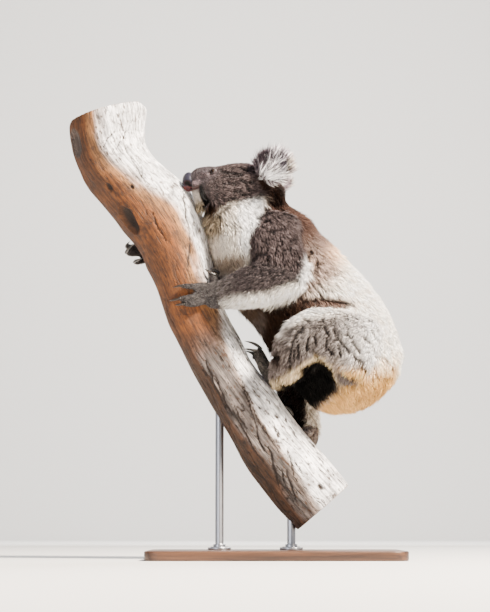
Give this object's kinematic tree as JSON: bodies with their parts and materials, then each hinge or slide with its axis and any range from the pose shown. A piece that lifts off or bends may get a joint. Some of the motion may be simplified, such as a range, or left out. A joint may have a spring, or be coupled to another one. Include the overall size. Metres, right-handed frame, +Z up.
{
  "type": "climbing koala on a length of gum trunk",
  "caption": "Life-size still koala hugging a leaning length of gum-tree trunk, head turned along the bark, held on a flat display base by slim rods.",
  "frame": {"origin": "centre of the underside of the stand's base", "axes": "+Z up; the koala faces -X and its left side is at -Y; the perch leans toward -X in the XZ plane"},
  "size_m": [0.6364, 0.34, 0.8668],
  "materials": {
    "fur_head": "short dense grey-brown fur",
    "fur_ears": "long soft white fringe over a dark edge",
    "fur_neck": "thick grey-brown fur",
    "fur_chest": "long white fur",
    "fur_back": "thick brown fur, pale at the tips",
    "fur_rump": "dense cream fur",
    "fur_arms": "salt-and-pepper grey fur",
    "fur_legs": "grey-brown fur with a pale fringe",
    "fur_paws": "short grey fur over dark skin",
    "nose_leather": "bare pebbled skin, faintly moist",
    "eye": "wet brown eye",
    "claw_horn": "smooth dark horn",
    "gum_bark": "smooth pale gum bark, orange where it has peeled, with dark fissures",
    "stand_wood": "dark oiled hardwood",
    "stand_steel": "satin steel rod"
  },
  "bodies": {
    "root": {"head": "fur_head", "nose": "nose_leather", "eye_left": "eye", "eye_right": "eye", "ear_left": "fur_ears", "ear_right": "fur_ears", "neck": "fur_neck", "chest": "fur_chest", "abdomen": "fur_back", "rump": "fur_rump", "upper_arm_left": "fur_arms", "forearm_left": "fur_arms", "hand_left": "fur_paws", "thigh_left": "fur_legs", "shank_left": "fur_legs", "foot_left": "fur_paws", "upper_arm_right": "fur_arms", "forearm_right": "fur_arms", "hand_right": "fur_paws", "thigh_right": "fur_legs", "shank_right": "fur_legs", "foot_right": "fur_paws", "claw_hand_left_1": "claw_horn", "claw_hand_left_2": "claw_horn", "claw_hand_left_3": "claw_horn", "claw_hand_left_4": "claw_horn", "claw_hand_left_5": "claw_horn", "claw_foot_left_1": "claw_horn", "claw_foot_left_2": "claw_horn", "claw_foot_left_3": "claw_horn", "claw_foot_left_4": "claw_horn", "claw_hand_right_1": "claw_horn", "claw_hand_right_2": "claw_horn", "claw_hand_right_3": "claw_horn", "claw_hand_right_4": "claw_horn", "claw_hand_right_5": "claw_horn", "claw_foot_right_1": "claw_horn", "claw_foot_right_2": "claw_horn", "claw_foot_right_3": "claw_horn", "claw_foot_right_4": "claw_horn", "perch": "gum_bark", "stand_base": "stand_wood", "stand_rod_long": "stand_steel", "stand_rod_short": "stand_steel"}
  },
  "joints": []
}
